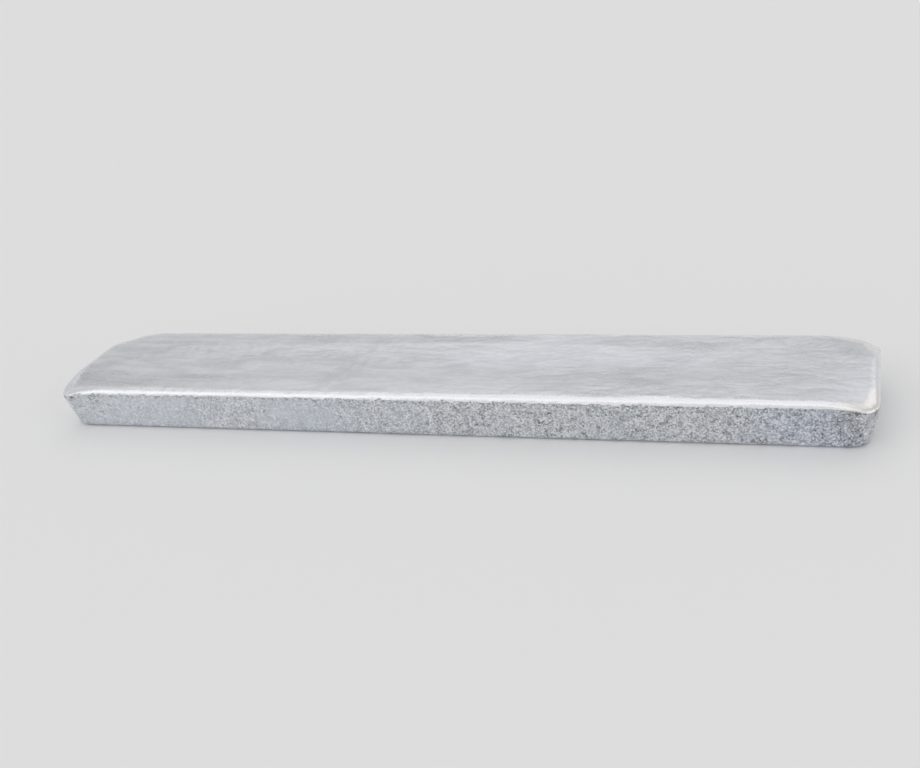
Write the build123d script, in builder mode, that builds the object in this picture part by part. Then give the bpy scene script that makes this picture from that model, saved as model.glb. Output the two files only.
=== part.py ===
# Magnesium alloy ingot, cast as one piece in an open, drafted mould.
# X runs along the ingot, Y across it and Z up. The origin is on the floor, below the middle.
# The mould formed the underside and the walls. The top froze open to the air.
import os
from itertools import product
from math import atan, cos, degrees, radians, sin, sqrt, tan

from build123d import *

# Driving dimensions, in millimetres and degrees
length = 750.0  # over the rim, at the top
width = 140.0  # over the rim, at the top
height = 44.0

side_draft = 11.0  # lean of each long wall, from upright
end_draft = 9.5  # lean of each end wall, from upright
corner_radius = 17.0  # upright corners, where the long walls meet the end walls
floor_radius = 6.0  # rolled edge between the walls and the underside

arch_width = 62.0  # shallow arch that the mould's ridge leaves along the underside
arch_height = 3.2
arch_blend = 40.0  # radius that eases the arch into the flat land on each side

rim_radius = 5.0  # lip of the frozen metal, all round the open top
corner_run = 21.0  # how far in from a corner the top starts to fall away
corner_drop = 6.5  # how far it has fallen at the corner

dish_width = 92.0  # hollow that shrinkage leaves along the middle of the top
dish_depth = 2.2
dish_margin = 40.0  # from the rim of an end wall to the end of the hollow
dish_end_run = 90.0  # stretch over which the hollow's floor rises out at each end

# Room by which a cutting shape passes the face that it cuts
over = 1.0


def arc_radius(run, rise):
    """Radius of the arc that leaves a line smoothly and is this far off it after this run."""
    return (run**2 + rise**2) / (2 * rise)


def arc_rise(radius, run):
    """How far off its line such an arc is after this run."""
    return radius - sqrt(radius**2 - run**2)


def arc_run(radius, rise):
    """How far along its line such an arc is this far off."""
    return sqrt(radius**2 - (radius - rise) ** 2)


def sharp_edge(draft):
    """How far the sharp edge of a leaning wall would stand out past its rounded lip."""
    lean = radians(draft)
    return rim_radius * (tan(lean) + 1 / cos(lean) - 1)


def wall_outline(top_length, draft):
    """Outline between two walls that lean by this draft, from the floor to the sharp rim."""
    rim = top_length / 2 + sharp_edge(draft)
    foot = rim - height * tan(radians(draft))
    Polyline((-foot, 0), (foot, 0), (rim, height), (-rim, height), close=True)


with BuildPart() as ingot:
    # Section of the bar between its long walls, over its whole length
    with BuildSketch(Plane.YZ):
        with BuildLine():
            wall_outline(width, side_draft)
        make_face()
    extrude(amount=length / 2 + sharp_edge(end_draft), both=True)

    # Outline seen from the side, which leans the end walls
    with BuildSketch(Plane.XZ):
        with BuildLine():
            wall_outline(length, end_draft)
        make_face()
    extrude(amount=width / 2 + sharp_edge(side_draft), both=True, mode=Mode.INTERSECT)

    # Upright corners first, then the edge that runs round the underside
    upright_edges = ingot.edges().group_by(Axis.Z)[1]
    fillet(upright_edges, corner_radius)
    floor_edges = ingot.faces().sort_by(Axis.Z)[0].edges()
    fillet(floor_edges, floor_radius)

    # Arch along the underside, open at both ends: it turns up, over and down again
    arch_turn = 2 * atan(2 * arch_height / arch_width)
    crown_radius = arch_width / (2 * sin(arch_turn)) - arch_blend
    turn = degrees(arch_turn)
    with BuildSketch(Plane.YZ):
        with BuildLine():
            up = JernArc(start=(-arch_width / 2, 0), tangent=(1, 0), radius=arch_blend, arc_size=turn)
            crown = JernArc(start=up @ 1, tangent=up % 1, radius=crown_radius, arc_size=-2 * turn)
            down = JernArc(start=crown @ 1, tangent=crown % 1, radius=arch_blend, arc_size=turn)
            Polyline(down @ 1, (arch_width / 2, -over), (-arch_width / 2, -over), up @ 0)
        make_face()
    extrude(amount=length / 2, both=True, mode=Mode.SUBTRACT)

    # The top falls away to each corner, in a curve that lies flat where it starts
    tip_inset = corner_radius * (sqrt(2) - 1)
    past_tip = corner_run + tip_inset
    tip_drop = arc_rise(arc_radius(corner_run, corner_drop), past_tip)
    for side_x, side_y in product((1, -1), (1, -1)):
        outward = Vector(side_x, side_y).normalized()
        across = outward.cross(Vector(0, 0, 1))
        corner = Vector(
            side_x * (length / 2 + sharp_edge(end_draft)),
            side_y * (width / 2 + sharp_edge(side_draft)),
            height,
        )
        with BuildSketch(Plane(corner - outward * past_tip, x_dir=outward, z_dir=across)):
            with BuildLine():
                fall = TangentArc((0, 0), (past_tip, -tip_drop), tangent=(1, 0))
                Polyline(fall @ 1, (past_tip, over), (0, over), fall @ 0)
            make_face()
        extrude(amount=past_tip + over, both=True, mode=Mode.SUBTRACT)

    # Lip round the top: the edges that the open top shares with the walls
    top_faces = ingot.faces().filter_by(lambda face: face.normal_at().Z > 0.5)
    wall_faces = ingot.faces() - top_faces
    rim_edges = ShapeList(top_faces.edges()) & wall_faces.edges()
    fillet(rim_edges, rim_radius)

    # Hollow along the middle of the top, turned about a line high above the bar
    dish_floor = height - dish_depth
    floor_end = length / 2 - dish_margin - dish_end_run
    rise_end = floor_end + arc_run(arc_radius(dish_end_run, dish_depth), dish_depth + over)
    with BuildSketch(Plane.XZ):
        with BuildLine():
            Line((-floor_end, dish_floor), (floor_end, dish_floor))
            TangentArc((floor_end, dish_floor), (rise_end, height + over), tangent=(1, 0))
            Line((rise_end, height + over), (-rise_end, height + over))
            TangentArc((-floor_end, dish_floor), (-rise_end, height + over), tangent=(-1, 0))
        make_face()
    turning_height = dish_floor + arc_radius(dish_width / 2, dish_depth)
    revolve(axis=Axis((0, 0, turning_height), (1, 0, 0)), mode=Mode.SUBTRACT)

ingot.part.label = "ingot"
os.makedirs("parts", exist_ok=True)
export_step(ingot.part, "parts/ingot.step")
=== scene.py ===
from math import cos, radians, tan

import bmesh
import bpy
import numpy as np
from mathutils import Matrix, Vector, noise


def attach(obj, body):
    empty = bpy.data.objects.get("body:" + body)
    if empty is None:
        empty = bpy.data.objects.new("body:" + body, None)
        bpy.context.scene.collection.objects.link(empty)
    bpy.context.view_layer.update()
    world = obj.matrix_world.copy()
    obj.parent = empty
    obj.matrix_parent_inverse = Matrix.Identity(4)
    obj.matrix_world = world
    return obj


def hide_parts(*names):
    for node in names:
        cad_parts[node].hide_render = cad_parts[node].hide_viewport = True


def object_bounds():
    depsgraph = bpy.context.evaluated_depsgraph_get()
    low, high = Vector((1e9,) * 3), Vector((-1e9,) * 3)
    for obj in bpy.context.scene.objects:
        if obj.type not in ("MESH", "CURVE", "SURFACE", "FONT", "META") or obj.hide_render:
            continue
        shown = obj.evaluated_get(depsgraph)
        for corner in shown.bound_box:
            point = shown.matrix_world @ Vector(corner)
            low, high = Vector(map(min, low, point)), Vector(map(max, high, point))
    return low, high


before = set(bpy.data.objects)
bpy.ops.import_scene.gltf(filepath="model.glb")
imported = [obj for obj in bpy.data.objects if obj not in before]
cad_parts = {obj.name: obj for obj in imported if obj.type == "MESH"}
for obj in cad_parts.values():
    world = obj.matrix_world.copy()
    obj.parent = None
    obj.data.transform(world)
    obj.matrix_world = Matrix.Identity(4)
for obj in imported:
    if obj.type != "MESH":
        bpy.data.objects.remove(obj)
cad_low, cad_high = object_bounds()

# The casting's sizes, in metres and degrees. Its box is the frame's.
LENGTH = cad_high.x - cad_low.x
WIDTH = cad_high.y - cad_low.y
HEIGHT = cad_high.z - cad_low.z
SIDE_DRAFT = 11.0  # lean of each long wall, from upright
END_DRAFT = 9.5  # lean of each end wall, from upright
CORNER_RADIUS = 0.017  # upright corners
FLOOR_RADIUS = 0.006  # rolled edge between the walls and the underside
RIM_RADIUS = 0.005  # lip round the open top

# Arch that the mould's ridge leaves along the underside
ARCH_WIDTH = 0.062
ARCH_HEIGHT = 0.0032

# Fall of the open top towards each corner
CORNER_DROP = 0.0062
CORNER_REACH = 0.042  # how far from the corner it starts
TIP_INSET = 0.004  # from the walls to the middle of the patch that sinks most
TIP_RADIUS = 0.006  # size of that patch

# Hollow that shrinkage leaves along the middle of the top
DISH_WIDTH = 0.092
DISH_DEPTH = 0.0022
DISH_MARGIN = 0.040  # from the rim of an end wall to the end of the hollow

# Freezing rings that follow the rim inwards
RING_SPACING = 0.0085
RING_DEPTH = 0.00026
RING_FADE = 0.018  # distance in from the rim at which they are down to about a third

# Bowed ripples that lie across the open top
RIPPLE_SPACING = 0.0085  # along the ingot
RIPPLE_REACH = 0.045  # across it
RIPPLE_DEPTH = 0.00034
RIPPLE_BOW = 0.022  # between the middle of the top and its sides

DRIFT = 0.010  # how far noise pushes the rings and ripples about

SKIN_STEP = 0.00175  # size of the mesh's faces
LEVEL_ROOM = 1e-5  # a vertex this near the underside or the top belongs to it
BOX_ROOM = 1e-6  # how much less than the casting's box the skin measures along each axis
FAINT = 0.002  # relief is left out where its share is under this


# Selecting and finishing


def deselect_all():
    """Leaves no object selected."""
    bpy.ops.object.select_all(action="DESELECT")


def choose(piece, kind, test):
    """Selects the verts, edges or faces of a piece in edit mode that pass a test, and no others."""
    bpy.ops.mesh.select_mode(type=kind.upper()[:-1])
    bpy.ops.mesh.select_all(action="DESELECT")
    mesh = bmesh.from_edit_mesh(piece.data)
    for part in getattr(mesh, kind):
        if test(part):
            part.select_set(True)
    bmesh.update_edit_mesh(piece.data)


def apply_modifier(piece, kind, **settings):
    """Adds a modifier with these settings and applies it."""
    modifier = piece.modifiers.new(kind.lower(), kind)
    for name, value in settings.items():
        setattr(modifier, name, value)
    bpy.ops.object.modifier_apply(modifier=modifier.name)


def places(piece):
    """The piece's vertices as an array, one row each."""
    spots = np.zeros(len(piece.data.vertices) * 3)
    piece.data.vertices.foreach_get("co", spots)
    return spots.reshape(-1, 3)


def move_to(piece, spots):
    """Moves the piece's vertices to these places."""
    piece.data.vertices.foreach_set("co", spots.ravel())
    piece.data.update()


def ramp(value, start, end):
    """0 where the values are at start, 1 where they are at end and a smooth rise between."""
    share = np.clip((value - start) / (end - start), 0, 1)
    return share * share * (3 - 2 * share)


# The casting's form


def sharp_edge(draft):
    """How far the sharp edge of a leaning wall would stand out past its rounded lip."""
    lean = radians(draft)
    return RIM_RADIUS * (tan(lean) + 1 / cos(lean) - 1)


def arc_radius(chord, rise):
    """Radius of the arc that rises this far over a chord."""
    return ((chord / 2) ** 2 + rise**2) / (2 * rise)


def mould_block():
    """The bar as the mould shapes it: leaning walls, round corners, a rolled floor edge and a rim."""
    mouth_width = WIDTH + 2 * sharp_edge(SIDE_DRAFT)
    mouth_length = LENGTH + 2 * sharp_edge(END_DRAFT)
    foot_width = mouth_width - 2 * HEIGHT * tan(radians(SIDE_DRAFT))
    foot_length = mouth_length - 2 * HEIGHT * tan(radians(END_DRAFT))

    deselect_all()
    bpy.ops.mesh.primitive_cube_add(size=1)
    piece = bpy.context.object
    piece.name = "ingot_casting"
    bpy.ops.object.mode_set(mode="EDIT")
    bpy.ops.transform.translate(value=(0, 0, 0.5))
    bpy.ops.transform.resize(value=(foot_length, foot_width, HEIGHT), center_override=(0, 0, 0))
    choose(piece, "faces", lambda face: face.normal.z > 0.5)
    bpy.ops.transform.resize(value=(mouth_length / foot_length, mouth_width / foot_width, 1))
    choose(piece, "edges", lambda edge: abs(edge.verts[0].co.z - edge.verts[1].co.z) > HEIGHT / 2)
    bpy.ops.mesh.bevel(offset=CORNER_RADIUS, segments=12, affect="EDGES")

    # The angle at the floor is wide and the one at the rim is sharp, so the same radius would take
    # less of the faces at the floor than at the rim
    floor_bevel = FLOOR_RADIUS * tan(radians(45 - SIDE_DRAFT / 2))
    rim_bevel = RIM_RADIUS * tan(radians(45 + SIDE_DRAFT / 2))
    choose(piece, "edges", lambda edge: all(vert.co.z < LEVEL_ROOM for vert in edge.verts))
    bpy.ops.mesh.bevel(offset=floor_bevel, segments=5, affect="EDGES")
    choose(piece, "edges", lambda edge: all(vert.co.z > HEIGHT - LEVEL_ROOM for vert in edge.verts))
    bpy.ops.mesh.bevel(offset=rim_bevel, segments=6, affect="EDGES")
    bpy.ops.object.mode_set(mode="OBJECT")
    return piece


def carve(piece, cutter):
    """Takes a cutter's shape out of the piece."""
    deselect_all()
    piece.select_set(True)
    bpy.context.view_layer.objects.active = piece
    apply_modifier(piece, "BOOLEAN", operation="DIFFERENCE", object=cutter, solver="MANIFOLD")
    bpy.data.objects.remove(cutter)


def arch_cutter():
    """The ridge along the mould's floor, as a long round bar that passes both ends of the casting."""
    radius = arc_radius(ARCH_WIDTH, ARCH_HEIGHT)
    deselect_all()
    bpy.ops.mesh.primitive_cylinder_add(vertices=360, radius=radius, depth=LENGTH * 1.2)
    cutter = bpy.context.object
    bpy.ops.object.mode_set(mode="EDIT")
    bpy.ops.transform.rotate(value=radians(90), orient_axis="Y", center_override=(0, 0, 0))
    bpy.ops.transform.translate(value=(0, 0, ARCH_HEIGHT - radius))
    bpy.ops.object.mode_set(mode="OBJECT")
    return cutter


def dish_cutter():
    """The hollow's shape: a ball as round as the hollow is across, drawn out to its length."""
    radius = arc_radius(DISH_WIDTH, DISH_DEPTH)
    draw_out = (LENGTH / 2 - DISH_MARGIN) / (DISH_WIDTH / 2)
    deselect_all()
    bpy.ops.mesh.primitive_uv_sphere_add(segments=256, ring_count=128, radius=radius)
    cutter = bpy.context.object
    bpy.ops.object.mode_set(mode="EDIT")
    bpy.ops.transform.resize(value=(draw_out, 1, 1))
    bpy.ops.transform.translate(value=(0, 0, HEIGHT - DISH_DEPTH + radius))
    bpy.ops.object.mode_set(mode="OBJECT")
    return cutter


def sink_corners(piece):
    """Lets the top fall away to each corner, where the metal froze first."""
    bpy.ops.object.mode_set(mode="EDIT")
    for side_x in (-1, 1):
        for side_y in (-1, 1):
            tip = Vector((side_x * (LENGTH / 2 - TIP_INSET), side_y * (WIDTH / 2 - TIP_INSET), HEIGHT))
            choose(piece, "verts", lambda vert, tip=tip: (vert.co - tip).length < TIP_RADIUS)
            bpy.ops.transform.translate(
                value=(0, 0, -CORNER_DROP),
                use_proportional_edit=True,
                proportional_edit_falloff="SHARP",
                proportional_size=CORNER_REACH,
            )
    bpy.ops.object.mode_set(mode="OBJECT")


# Relief of the cast skin


def from_rim(spots):
    """Each place's distance in from the rim, down from the fallen top and away from the nearest corner."""
    x, y, z = np.abs(spots).T
    along, across = LENGTH / 2 - x, WIDTH / 2 - y
    corner = np.hypot(along, across)
    # The rim's outline turns with the corner radius, so inside that square the distance is to the arc
    to_centre = np.hypot(np.maximum(CORNER_RADIUS - along, 0), np.maximum(CORNER_RADIUS - across, 0))
    turned = (along < CORNER_RADIUS) & (across < CORNER_RADIUS)
    inset = np.where(turned, CORNER_RADIUS - to_centre, np.minimum(along, across))
    fall = CORNER_DROP * np.clip(1 - corner / CORNER_REACH, 0, 1) ** 2
    return inset, HEIGHT - fall - z, corner


def mark(piece, name, values):
    """Stores a number for each vertex, which the finish reads."""
    attribute = piece.data.attributes.new(name, "FLOAT", "POINT")
    attribute.data.foreach_set("value", values.astype(np.float32))


def relief(piece, zone, size, depth, stretch=(1, 1, 1), shift=(0, 0, 0), level=0.5, **settings):
    """Raises and sinks the skin of one zone by a noise of this size, stretched along the axes."""
    group = piece.vertex_groups.new(name="relief")
    for index in np.flatnonzero(zone > FAINT):
        group.add([int(index)], float(zone[index]), "REPLACE")
    texture = bpy.data.textures.new("relief", "CLOUDS")
    texture.noise_scale = size
    for name, value in settings.items():
        setattr(texture, name, value)
    stretcher = bpy.data.objects.new("stretcher", None)
    bpy.context.scene.collection.objects.link(stretcher)
    stretcher.scale = stretch
    stretcher.location = shift
    bpy.context.view_layer.update()
    apply_modifier(
        piece,
        "DISPLACE",
        texture=texture,
        texture_coords="OBJECT",
        texture_coords_object=stretcher,
        vertex_group=group.name,
        strength=depth,
        mid_level=level,
        direction="NORMAL",
    )
    bpy.data.objects.remove(stretcher)
    bpy.data.textures.remove(texture)
    piece.vertex_groups.clear()


def wander(spots, size, reach, seed):
    """A noise from minus to plus reach for each place. Its lumps have this size, or one for each axis."""
    shifted = spots / np.array(size) + seed
    return reach * np.array([noise.noise(Vector(spot)) for spot in shifted])


def ripple_top(piece, top, inset):
    """Presses the freezing rings and the ripples into the open top, in patches."""
    spots = places(piece)
    drift = wander(spots, size=0.045, reach=DRIFT, seed=3.7)
    drift += wander(spots, size=0.014, reach=DRIFT / 4, seed=11.3)
    rings = np.sin(2 * np.pi * (inset + drift) / RING_SPACING)
    ring_patches = np.clip(0.5 + wander(spots, size=0.080, reach=0.9, seed=21.1), 0.1, 1)
    rings *= ring_patches * np.exp(-inset / RING_FADE)

    bowed = spots.copy()
    bowed[:, 0] += RIPPLE_BOW * (spots[:, 1] / (WIDTH / 2)) ** 2 + 1.2 * drift
    ripples = wander(bowed, size=(RIPPLE_SPACING, RIPPLE_REACH, 1.0), reach=1.0, seed=41.3)
    ripple_patches = np.clip(0.45 + wander(spots, size=0.090, reach=1.2, seed=31.9), 0.1, 1)
    ripples *= ripple_patches * ramp(inset, 0.012, 0.026)

    spots[:, 2] += top * (RING_DEPTH * rings + RIPPLE_DEPTH * ripples)
    move_to(piece, spots)


def fit_to_box(piece):
    """Brings the skin back to the casting's own box, which the relief may pass by a hair."""
    spots = places(piece)
    low, high = spots.min(0), spots.max(0)
    full = np.array((LENGTH, WIDTH, HEIGHT)) - BOX_ROOM
    spots = (spots - (low + high) / 2) * full / (high - low)
    spots[:, 2] += HEIGHT / 2
    move_to(piece, spots)


def casting():
    """The ingot as it came from the mould."""
    piece = mould_block()
    carve(piece, arch_cutter())
    carve(piece, dish_cutter())
    apply_modifier(piece, "REMESH", mode="VOXEL", voxel_size=SKIN_STEP, use_smooth_shade=True)
    apply_modifier(piece, "SMOOTH", factor=0.5, iterations=4)
    sink_corners(piece)

    inset, below, corner = from_rim(places(piece))
    mark(piece, "rim_inset", inset)
    mark(piece, "rim_depth", below)
    mark(piece, "corner_distance", corner)

    # Share of each zone at each vertex, which fades between two distances
    top = ramp(inset, 0.0045, 0.0080) * ramp(below, 0.008, 0.005)
    lip = ramp(inset, 0.0110, 0.0060) * ramp(below, 0.0070, 0.0042)
    underside = ramp(places(piece)[:, 2], 0.0042, 0.0015)
    wall = ramp(inset, 0.020, 0.014) * ramp(below, 0.002, 0.006) * (1 - underside)
    corner_laps = wall * ramp(corner, 0.070, 0.015)
    rim_laps = wall * ramp(below, 0.013, 0.006)

    # Walls: slow waves, then lumps, then a grain like the peel of an orange
    relief(piece, wall, size=0.110, depth=0.0008)
    relief(piece, wall, size=0.022, depth=0.0005, noise_depth=2)
    relief(piece, wall, size=0.0075, depth=0.00060, noise_depth=1, noise_type="HARD_NOISE")
    relief(piece, wall, size=0.0045, depth=0.00040, noise_depth=1, contrast=1.4)
    # Cold laps, flat waves that lie along the walls near the corners and under the lip
    relief(piece, corner_laps, size=0.0040, depth=0.0007, stretch=(6, 6, 1), noise_depth=1, contrast=1.3)
    relief(piece, rim_laps, size=0.0035, depth=0.0006, stretch=(3, 3, 1), shift=(0.3, 0, 0), noise_depth=1)
    # The lip wavers, and the open top swells and wrinkles
    relief(piece, lip, size=0.030, depth=0.0010, noise_depth=2)
    relief(piece, lip, size=0.012, depth=0.0005, shift=(0, 0.4, 0), noise_depth=2)
    relief(piece, top, size=0.060, depth=0.0012, noise_depth=1)
    relief(piece, top, size=0.014, depth=0.0005, stretch=(1.8, 1, 1), noise_depth=2)
    relief(piece, top, size=0.0045, depth=0.00020, noise_depth=1)
    # The underside only loses metal, so that the casting still lies flat
    relief(piece, underside, size=0.006, depth=0.0003, level=1.0)
    ripple_top(piece, top, inset)
    fit_to_box(piece)
    return piece


ingot = casting()
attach(ingot, "root")
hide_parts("ingot")


# Shader sums


class Value:
    """An output socket of a material's nodes. A sum written on it becomes Math nodes."""

    def __init__(self, finish, socket):
        self.finish = finish
        self.socket = socket

    def output(self, name):
        """Another output of the same node."""
        return Value(self.finish, self.socket.node.outputs[name])

    def math(self, operation, *others):
        """This value and the others through a Math node."""
        inputs = dict(enumerate((self, *others)))
        return self.finish.node("ShaderNodeMath", {"operation": operation}, inputs)

    def __add__(self, other):
        return self.math("ADD", other)

    def __mul__(self, other):
        return self.math("MULTIPLY", other)

    def __sub__(self, other):
        return self.math("SUBTRACT", other)

    def __rsub__(self, other):
        return self.finish.node("ShaderNodeMath", {"operation": "SUBTRACT"}, {0: other, 1: self})

    def __abs__(self):
        return self.math("ABSOLUTE")

    __radd__ = __add__
    __rmul__ = __mul__


class Finish:
    """A material, whose nodes are added one call at a time."""

    def __init__(self, name):
        self.material = bpy.data.materials.new(name)
        self.material.use_nodes = True
        self.tree = self.material.node_tree
        self.tree.nodes.clear()

    def node(self, kind, settings=None, inputs=None, output=0):
        """Adds a node, sets it up, fills its sockets with numbers or values and gives one output."""
        node = self.tree.nodes.new(kind)
        for name, value in (settings or {}).items():
            setattr(node, name, value)
        for name, value in (inputs or {}).items():
            if isinstance(value, Value):
                self.tree.links.new(value.socket, node.inputs[name])
            else:
                node.inputs[name].default_value = value
        return Value(self, node.outputs[output])

    def done(self, surface):
        """The finished material with this shader."""
        output = self.tree.nodes.new("ShaderNodeOutputMaterial")
        self.tree.links.new(surface.socket, output.inputs["Surface"])
        return self.material

    def mark(self, name):
        """A number that the mesh stores at each vertex."""
        return self.node("ShaderNodeAttribute", {"attribute_name": name}, output="Fac")

    def rise(self, value, start, end):
        """0 where the value is at start, 1 where it is at end and a smooth rise between."""
        settings = {"interpolation_type": "SMOOTHSTEP"}
        inputs = {"Value": value, "From Min": start, "From Max": end}
        return self.node("ShaderNodeMapRange", settings, inputs)

    def blend(self, share, first, second):
        """Colour between two colours."""
        inputs = {"Factor": share, 6: first, 7: second}
        return self.node("ShaderNodeMix", {"data_type": "RGBA"}, inputs, output=2)

    def shade(self, colour, strength):
        """The colour made lighter or darker."""
        return self.node("ShaderNodeVectorMath", {"operation": "SCALE"}, {0: colour, "Scale": strength})

    def scaled(self, place, stretch, shift=(0, 0, 0)):
        """The place with each axis multiplied: a pattern on it gets that much finer along the axis."""
        inputs = {"Vector": place, "Scale": stretch, "Location": shift}
        return self.node("ShaderNodeMapping", {"vector_type": "POINT"}, inputs)

    def noise(self, place, size, detail=2.0, roughness=0.5, distortion=0.0):
        """Noise with lumps of this size in metres."""
        inputs = {
            "Vector": place,
            "Scale": 1 / size,
            "Detail": detail,
            "Roughness": roughness,
            "Distortion": distortion,
        }
        return self.node("ShaderNodeTexNoise", {}, inputs)

    def drift(self, place, size, reach):
        """The place pushed about by a noise, so that a pattern on it loses its straight lines."""
        push = self.noise(place, size).output("Color")
        inputs = {0: push, 1: (reach, reach, reach), 2: place}
        return self.node("ShaderNodeVectorMath", {"operation": "MULTIPLY_ADD"}, inputs)

    def cells(self, place, size):
        """Cells of this size in metres, as the distance from each cell's middle."""
        return self.node("ShaderNodeTexVoronoi", {"feature": "F1"}, {"Vector": place, "Scale": 1 / size})


# Patterns of the cast skin


def mould_skin(finish, place):
    """Small lumps from the mould's face, their crowns, which the finish paints bright as glints, and the
    short crooked creases between.
    """
    drifted = finish.drift(place, 0.0035, 0.0022)
    lumps = finish.noise(drifted, 0.0017, detail=3.0, roughness=0.65) - 0.5
    crowns = finish.rise(lumps, 0.03, 0.15)
    folds = abs(finish.noise(drifted, 0.0038, detail=2.0) - 0.5)
    creases = finish.rise(folds, 0.030, 0.0) * finish.rise(finish.noise(place, 0.0085), 0.44, 0.58)
    return lumps, crowns, creases


def faint_streaks(finish, place, ends):
    """Streaks that stand upright on the long walls and lie level on the end walls."""
    upright = finish.noise(finish.scaled(place, (1.0, 1.0, 0.12)), 0.0035, detail=2.0) - 0.5
    level = finish.noise(finish.scaled(place, (1.0, 0.12, 1.0)), 0.0030, detail=2.0) - 0.5
    return upright * (1 - ends) + level * ends * 1.6


def gas_pits(finish, place):
    """Small round pits that gas leaves here and there."""
    gas = finish.cells(place, 0.013)
    return finish.rise(gas, 0.075, 0.045) * finish.rise(gas.output("Color"), 0.50, 0.55)


def cold_laps(finish, place, corner):
    """Short dark dashes near the corners, where cold metal folded over."""
    lines = abs(finish.noise(finish.scaled(place, (0.4, 0.4, 1.0)), 0.0040, detail=2.0) - 0.5)
    laps = finish.rise(lines, 0.035, 0.0) * finish.rise(corner, 0.085, 0.030)
    return laps * finish.rise(finish.noise(place, 0.016), 0.44, 0.56)


def feathers(finish, place):
    """Feathery satin patches of the open top, from 0, dull, to 1, pale, as small and large ones."""
    drawn = finish.scaled(place, (0.35, 1.0, 1.0), (2, 0, 0))
    small = finish.noise(drawn, 0.016, detail=5.0, roughness=0.62, distortion=0.8)
    large = finish.noise(drawn, 0.055, detail=4.0, roughness=0.6, distortion=0.6)
    return finish.rise(small, 0.35, 0.65), finish.rise(large, 0.36, 0.62)


# The casting's finish

WALL_GREY = (0.652, 0.68, 0.722, 1)
WALL_PALE = (0.70, 0.722, 0.760, 1)
# Bluish tint of painted shade at the east end of the walls
WALL_PAINTED_SHADE_BLUE = (0.665, 0.695, 0.785, 1)
CORNER_DULL = (0.45, 0.455, 0.452, 1)
TOP_DULL = (0.652, 0.665, 0.705, 1)
TOP_PALE = (0.81, 0.818, 0.862, 1)
LIP_SILVER = (0.892, 0.90, 0.938, 1)
# Cream tint of a painted warm highlight on the lip at the east corners
LIP_PAINTED_HIGHLIGHT = (0.93, 0.915, 0.89, 1)


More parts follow.
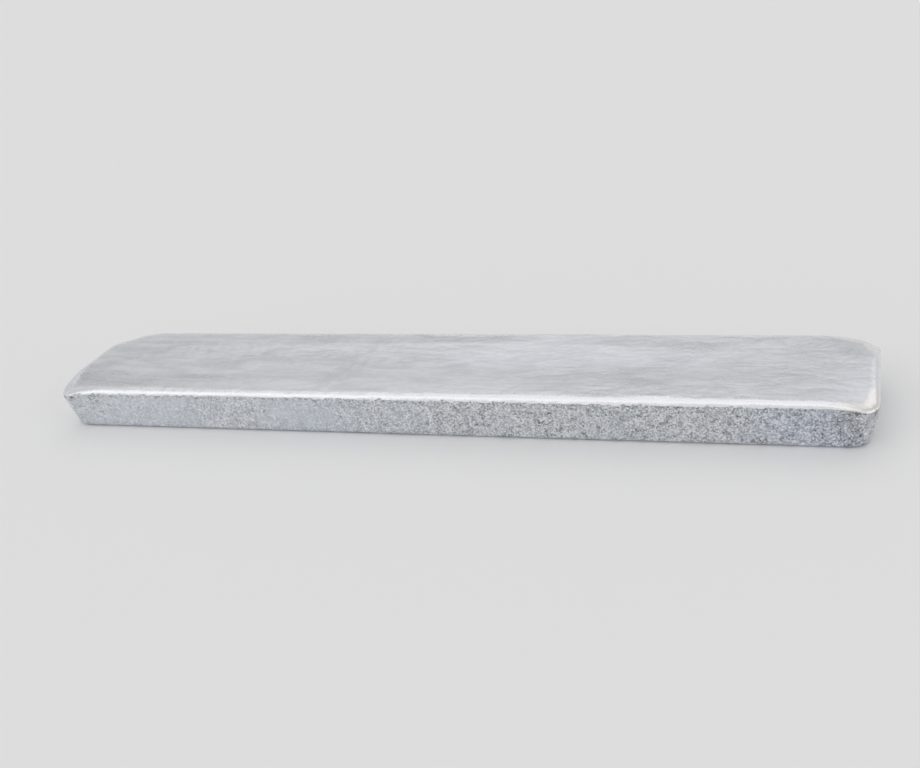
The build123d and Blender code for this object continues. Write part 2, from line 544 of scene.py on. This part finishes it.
def cast_magnesium():
    """Grainy walls from the mould, a bright smooth lip, and a satin top that froze in the open."""
    finish = Finish("cast_magnesium")
    place = finish.node("ShaderNodeTexCoord", output="Object")
    inset = finish.mark("rim_inset")
    depth = finish.mark("rim_depth")
    corner = finish.mark("corner_distance")
    # Metres along X from the middle, which grow to the east
    east = finish.node("ShaderNodeSeparateXYZ", {}, {0: place})
    ends = finish.rise(abs(east), LENGTH / 2 - 0.0150, LENGTH / 2 - 0.0095)

    # The lip's two edges waver, and its lower edge is ragged in places
    ragged = finish.rise(finish.noise(place, 0.060), 0.42, 0.58) * 0.0065 + 0.0030
    waver = (finish.noise(place, 0.0050, detail=3.0, roughness=0.6) - 0.5) * ragged
    above_wall = finish.rise(depth + waver, 0.0056, 0.0048)
    near_corner = finish.rise(corner + waver * 3, 0.046, 0.014)
    # Near the corners the pale lip colour reaches further in: a painted highlight on the corners.
    near_rim = finish.rise(
        inset + waver * 0.9 - ragged * 0.35 - near_corner * 0.006,
        0.0080,
        0.0020,
    )
    top = above_wall * (1 - near_rim)
    lip = above_wall * near_rim

    # The skin is nearly smooth in some stretches and grainy in others, mostly to the east
    lumps, crowns, creases = mould_skin(finish, place)
    fine = finish.noise(place, 0.0010, detail=2.0) - 0.5
    coarse = finish.noise(place, 0.0055, detail=2.0) - 0.5
    # The skin is painted lighter where its lumps and coarse swells stand up and brightest on the lumps'
    # crowns: painted glints and painted reflection, for the light each lump would catch. The creases are
    # darker.
    skin = lumps * 2.2 + crowns * 0.5 + coarse * 0.9 - creases * 0.6
    zone = finish.noise(place, 0.090, detail=3.0, roughness=0.6) * 0.7 + east * 0.50
    strength = (finish.rise(zone, 0.08, 0.50) * 0.87 + 0.13) * (1 - ends * 0.42)
    streaks = faint_streaks(finish, place, ends)
    pits = gas_pits(finish, place) * (1 - above_wall)

    # Dark marks: the laps near the corners, and where the lip folded over the wall
    under_lip = finish.rise(depth + waver * 2, 0.0105, 0.0060) * finish.rise(coarse, 0.02, 0.09)
    marks = cold_laps(finish, place, corner) * 0.45 + under_lip * 0.38

    # Walls: two greys in patches, a bluer stretch at the east end that is painted shade, and dull upper
    # corners
    patches = finish.rise(finish.noise(place, 0.085, detail=3.0), 0.36, 0.64)
    wall = finish.blend(patches, WALL_GREY, WALL_PALE)
    # Painted shade: a bluish tint along the east end of the walls
    east_shade_tint = finish.rise(east + waver * 6, 0.255, 0.315) * (1 - ends)
    wall = finish.blend(east_shade_tint * 0.8, wall, WALL_PAINTED_SHADE_BLUE)
    dull = near_corner * finish.rise(depth + coarse * 0.05, 0.034, 0.010) * (1 - ends * 0.5)
    dull = dull * finish.rise(finish.noise(place, 0.012, detail=3.0), 0.30, 0.52)
    dull = dull * finish.rise(east, -0.45, 0.30)
    wall = finish.blend(dull * 0.85, wall, CORNER_DULL)
    # Its light and dark are partly painted glints and reflection from the lumps, besides the streaks, pits
    # and marks
    grain_and_glints = skin * strength * 1.15 + streaks * 0.30 - pits * 0.45 - marks
    # The walls are painted darker near the corners, as shade.
    wall = finish.shade(wall, grain_and_glints + ends * 0.06 - near_corner * 0.06 - strength * 0.010 + 1.055)

    mottle, cloudy = feathers(finish, place)
    satin = mottle * 0.5 + cloudy * 0.5
    open_skin = finish.blend(satin, TOP_DULL, TOP_PALE)
    open_skin = finish.shade(open_skin, fine * 0.12 + coarse * 0.12 + 1.0)
    colour = finish.blend(top, wall, open_skin)
    # At the east corners the lip is tinted cream: a painted warm highlight.
    painted_warm_highlight = near_corner * finish.rise(east, 0.30, 0.36)
    bright = finish.blend(painted_warm_highlight, LIP_SILVER, LIP_PAINTED_HIGHLIGHT)
    colour = finish.blend(lip, colour, bright)

    # The lip is the smoothest, and the crowns of the walls' lumps shine
    shine = crowns * strength * (1 - above_wall) * 0.2
    roughness = 0.55 - above_wall * 0.23 - lip * 0.05 - shine + top * (satin - 0.5) * 0.18

    wall_height = (lumps * 3.4 + coarse * 1.5 - creases * 0.5 - marks) * strength * (1 - above_wall)
    top_height = (mottle * 0.3 + coarse * 0.4 + fine * 0.10 + 0.5) * above_wall + fine * lip * 0.18
    height = wall_height + top_height - pits * 0.8
    bump = finish.node("ShaderNodeBump", {}, {"Height": height, "Distance": 0.0007, "Strength": 1.0})
    surface = finish.node(
        "ShaderNodeBsdfPrincipled",
        {},
        {"Base Color": colour, "Roughness": roughness, "Metallic": 0.92, "Normal": bump},
    )
    return finish.done(surface)


ingot.data.materials.clear()
ingot.data.materials.append(cast_magnesium())


# Floor, light and camera

# Strength of the world near the horizon, where it looks like the lit floor, and overhead
HORIZON_LIGHT = 0.721
OVERHEAD_LIGHT = 0.56


def floor():
    """A plain pale floor that runs out past the picture on every side."""
    deselect_all()
    bpy.ops.mesh.primitive_plane_add(size=40)
    piece = bpy.context.object
    piece.name = "floor"
    paint = bpy.data.materials.new("pale_floor")
    paint.use_nodes = True
    shader = paint.node_tree.nodes["Principled BSDF"]
    shader.inputs["Base Color"].default_value = (0.90, 0.90, 0.90, 1)
    shader.inputs["Roughness"].default_value = 0.9
    shader.inputs["Specular IOR Level"].default_value = 0.0
    piece.data.materials.append(paint)


def soft_lamp(name, place, spread, power):
    """A far lamp in this direction, as wide as this angle in degrees, whose light is even everywhere."""
    lamp = bpy.data.objects.new(name, bpy.data.lights.new(name, "SUN"))
    bpy.context.scene.collection.objects.link(lamp)
    lamp.data.energy = power
    lamp.data.angle = radians(spread)
    lamp.rotation_euler = Vector(place).to_track_quat("Z", "Y").to_euler()


def studio():
    """Even light from all round, two soft lamps high up and two low ones that rake the walls."""
    world = bpy.data.worlds.new("studio")
    world.use_nodes = True
    sky = world.node_tree
    direction = sky.nodes.new("ShaderNodeTexCoord")
    parts = sky.nodes.new("ShaderNodeSeparateXYZ")
    brightness = sky.nodes.new("ShaderNodeMapRange")
    brightness.interpolation_type = "SMOOTHSTEP"
    brightness.inputs["From Min"].default_value = 0.10
    brightness.inputs["From Max"].default_value = 0.40
    brightness.inputs["To Min"].default_value = HORIZON_LIGHT
    brightness.inputs["To Max"].default_value = OVERHEAD_LIGHT
    sky.links.new(direction.outputs["Generated"], parts.inputs[0])
    sky.links.new(parts.outputs["Z"], brightness.inputs["Value"])
    background = sky.nodes["Background"]
    background.inputs["Color"].default_value = (1, 1, 1, 1)
    sky.links.new(brightness.outputs[0], background.inputs["Strength"])
    bpy.context.scene.world = world
    soft_lamp("high_front", (-0.15, -0.58, 1.0), 70, 0.46)
    soft_lamp("high_back", (-0.12, 0.86, 1.25), 56, 0.27)
    soft_lamp("low_left", (-0.75, -0.85, 0.24), 50, 0.26)
    soft_lamp("low_right", (0.95, -0.30, 0.24), 50, 0.22)
    bpy.context.scene.view_settings.view_transform = "Standard"


def camera():
    """Looks at the ingot from the front, to the right of its middle and from above."""
    # Places in metres from the middle of the underside. The roll keeps the near rim about level.
    eye = Vector((0.364, -0.982, 0.494))
    target = Vector((0.010, 0, 0.022))
    roll = radians(-7.5)
    piece = bpy.data.objects.new("camera", bpy.data.cameras.new("camera"))
    bpy.context.scene.collection.objects.link(piece)
    piece.location = eye
    turn = (target - eye).to_track_quat("-Z", "Y").to_matrix()
    piece.rotation_euler = (turn @ Matrix.Rotation(roll, 3, "Z")).to_euler()
    piece.data.lens = 49
    bpy.context.scene.camera = piece


floor()
studio()
camera()
